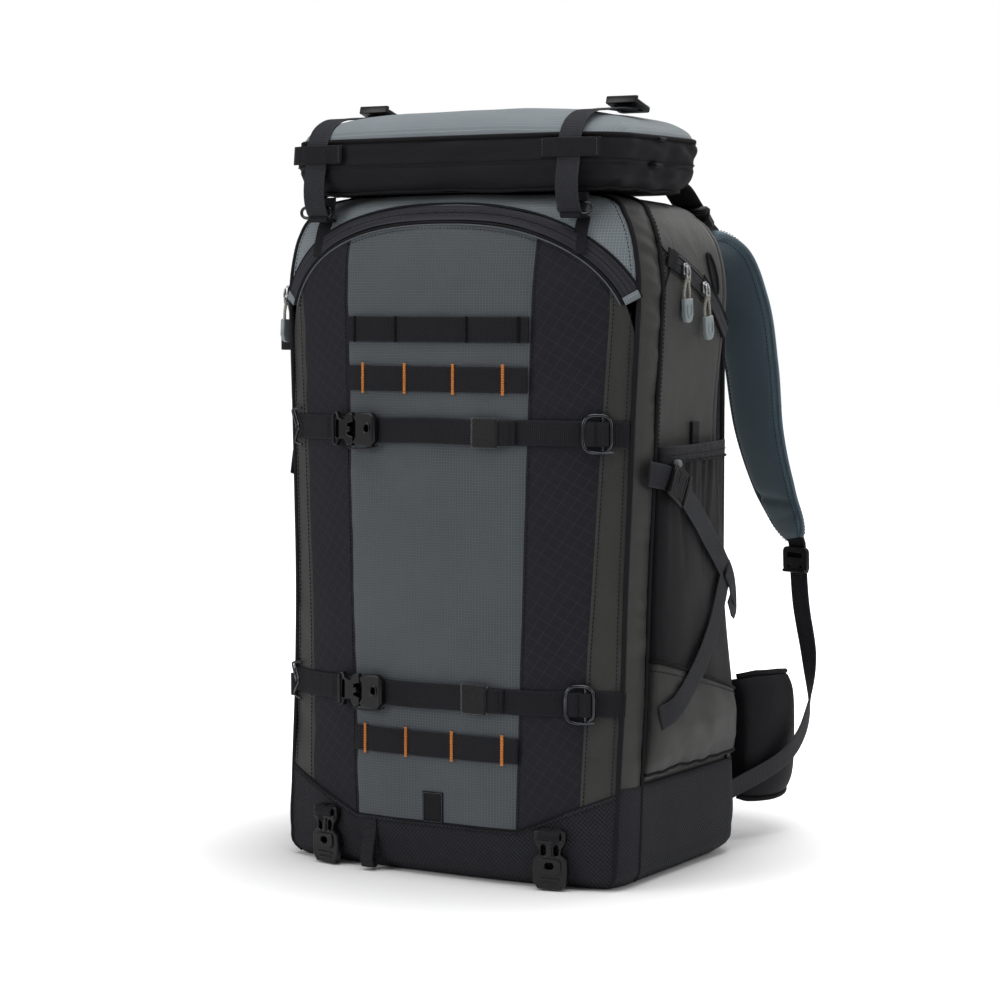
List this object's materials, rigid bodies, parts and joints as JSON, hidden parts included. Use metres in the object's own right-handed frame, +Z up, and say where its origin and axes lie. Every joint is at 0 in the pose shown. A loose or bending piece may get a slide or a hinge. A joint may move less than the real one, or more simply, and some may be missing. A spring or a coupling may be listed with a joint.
{
  "type": "camera backpack",
  "caption": "Tall camera backpack with a zipped front pocket, lid, webbing, stretch side pockets, padded shoulder straps and a waist belt.",
  "frame": {"origin": "centre of the flat underside of the base, under the middle of the body", "axes": "+X across the pack to the right of one who looks at its front, -Y out of the front panel, +Y towards the wearer, +Z up"},
  "size_m": [0.3548, 0.4001, 0.6178],
  "materials": {
    "olive_cloth": "coated satin twill",
    "grey_cloth": "coated ripstop",
    "zip_tape": "coated zip tape",
    "base_cloth": "coarse coated weave",
    "webbing": "ribbed webbing",
    "black_cloth": "plain weave",
    "stretch_cloth": "stretch knit",
    "air_mesh": "open spacer mesh",
    "harness_cloth": "brushed knit",
    "buckle_plastic": "moulded, satin",
    "metal_hook": "dark coated wire",
    "pull_rubber": "translucent moulded"
  },
  "bodies": {
    "root": {"body_shell": "olive_cloth", "front_pocket": "grey_cloth", "zip_arch": "zip_tape", "base_cover": "base_cloth", "daisy_top": "webbing", "daisy_middle": "webbing", "daisy_bottom": "webbing", "front_strap_upper": "webbing", "buckle_upper_tongue": "buckle_plastic", "buckle_upper_socket": "buckle_plastic", "hook_upper": "metal_hook", "front_strap_lower": "webbing", "buckle_lower_tongue": "buckle_plastic", "buckle_lower_socket": "buckle_plastic", "hook_lower": "metal_hook", "base_buckle_right": "buckle_plastic", "base_buckle_left": "buckle_plastic", "base_pull": "webbing", "lid_shell": "black_cloth", "lid_floor": "black_cloth", "lid_strap_right": "webbing", "lid_strap_left": "webbing", "lid_keeper_right": "webbing", "lid_keeper_left": "webbing", "lid_anchor_right": "webbing", "lid_anchor_left": "webbing", "lid_adjuster_right": "buckle_plastic", "lid_adjuster_left": "buckle_plastic", "side_pocket_right": "stretch_cloth", "side_pocket_left": "stretch_cloth", "side_strap_right": "webbing", "side_strap_left": "webbing", "side_lock_right": "buckle_plastic", "side_lock_left": "buckle_plastic", "side_zip_right": "zip_tape", "side_zip_left": "zip_tape", "pull_arch": "pull_rubber", "pull_front_right": "pull_rubber", "pull_front_left": "pull_rubber", "pull_rear_right": "pull_rubber", "pull_rear_left": "pull_rubber", "back_panel": "black_cloth", "back_pad": "air_mesh", "lumbar_pad": "air_mesh", "shoulder_strap_right": "harness_cloth", "shoulder_strap_left": "harness_cloth", "shoulder_web_right": "webbing", "shoulder_web_left": "webbing", "shoulder_lock_right": "buckle_plastic", "shoulder_lock_left": "buckle_plastic", "belt_wing_right": "black_cloth", "belt_wing_left": "black_cloth", "belt_web": "webbing", "belt_buckle": "buckle_plastic", "grab_handle": "webbing", "lid_tie_right": "webbing", "lid_tie_left": "webbing", "lid_tie_lock_right": "buckle_plastic", "lid_tie_lock_left": "buckle_plastic"}
  },
  "joints": []
}
